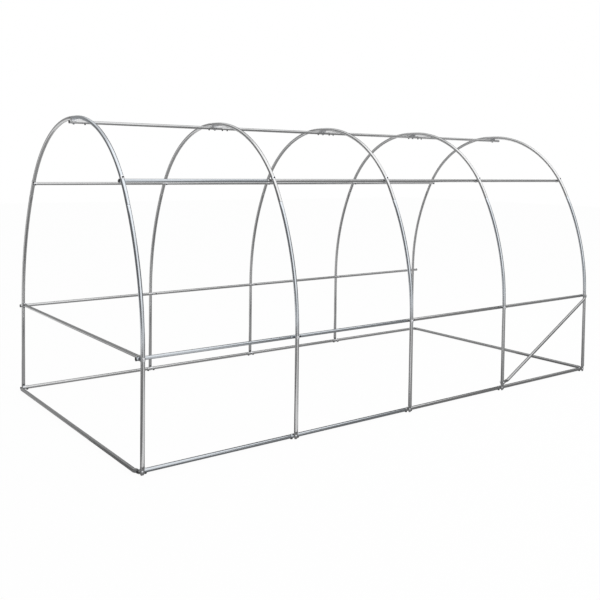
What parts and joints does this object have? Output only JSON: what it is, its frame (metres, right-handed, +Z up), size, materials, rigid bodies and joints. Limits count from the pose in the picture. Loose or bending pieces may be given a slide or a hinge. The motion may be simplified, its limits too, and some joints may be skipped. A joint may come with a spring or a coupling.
{
  "type": "tunnel greenhouse",
  "caption": "Walk-in tunnel greenhouse frame: round-topped steel hoops tied by ridge, purlins, mid and base rails, with a crossbar and a brace.",
  "frame": {"origin": "on the ground, halfway along the frame and halfway between the two rows of legs", "axes": "+X along the ridge towards the doorway, +Y away from the side with the diagonal brace, +Z up"},
  "size_m": [4.1266, 2.0673, 1.9825],
  "materials": {
    "hoop_tube": "galvanised steel tube, satin with a faint spangle",
    "rail_tube": "galvanised steel tube, satin, slightly brighter",
    "base_tube": "galvanised steel tube, satin, slightly duller",
    "saddle": "zinc-plated pressings, bolts and nuts",
    "cap": "black moulded plastic end caps and bolt covers"
  },
  "bodies": {
    "root": {"hoop_1_near_leg": "hoop_tube", "hoop_1_near_roof": "hoop_tube", "hoop_1_far_leg": "hoop_tube", "hoop_1_far_roof": "hoop_tube", "hoop_2_near_leg": "hoop_tube", "hoop_2_near_roof": "hoop_tube", "hoop_2_far_leg": "hoop_tube", "hoop_2_far_roof": "hoop_tube", "hoop_3_near_leg": "hoop_tube", "hoop_3_near_roof": "hoop_tube", "hoop_3_far_leg": "hoop_tube", "hoop_3_far_roof": "hoop_tube", "hoop_4_near_leg": "hoop_tube", "hoop_4_near_roof": "hoop_tube", "hoop_4_far_leg": "hoop_tube", "hoop_4_far_roof": "hoop_tube", "hoop_5_near_leg": "hoop_tube", "hoop_5_near_roof": "hoop_tube", "hoop_5_far_leg": "hoop_tube", "hoop_5_far_roof": "hoop_tube", "base_rail_near_1": "base_tube", "base_rail_near_2": "base_tube", "base_rail_near_3": "base_tube", "base_rail_near_4": "base_tube", "mid_rail_near_1": "rail_tube", "mid_rail_near_2": "rail_tube", "mid_rail_near_3": "rail_tube", "mid_rail_near_4": "rail_tube", "purlin_near_1": "rail_tube", "purlin_near_2": "rail_tube", "purlin_near_3": "rail_tube", "purlin_near_4": "rail_tube", "base_rail_far_1": "base_tube", "base_rail_far_2": "base_tube", "base_rail_far_3": "base_tube", "base_rail_far_4": "base_tube", "mid_rail_far_1": "rail_tube", "mid_rail_far_2": "rail_tube", "mid_rail_far_3": "rail_tube", "mid_rail_far_4": "rail_tube", "purlin_far_1": "rail_tube", "purlin_far_2": "rail_tube", "purlin_far_3": "rail_tube", "purlin_far_4": "rail_tube", "ridge_1": "rail_tube", "ridge_2": "rail_tube", "ridge_3": "rail_tube", "ridge_4": "rail_tube", "end_base_closed": "base_tube", "end_base_door": "base_tube", "crossbar": "rail_tube", "brace": "rail_tube", "ridge_saddle_1": "saddle", "ridge_saddle_2": "saddle", "ridge_saddle_3": "saddle", "ridge_saddle_4": "saddle", "ridge_saddle_5": "saddle", "ridge_cap_closed": "cap", "ridge_cap_door": "cap"}
  },
  "joints": []
}
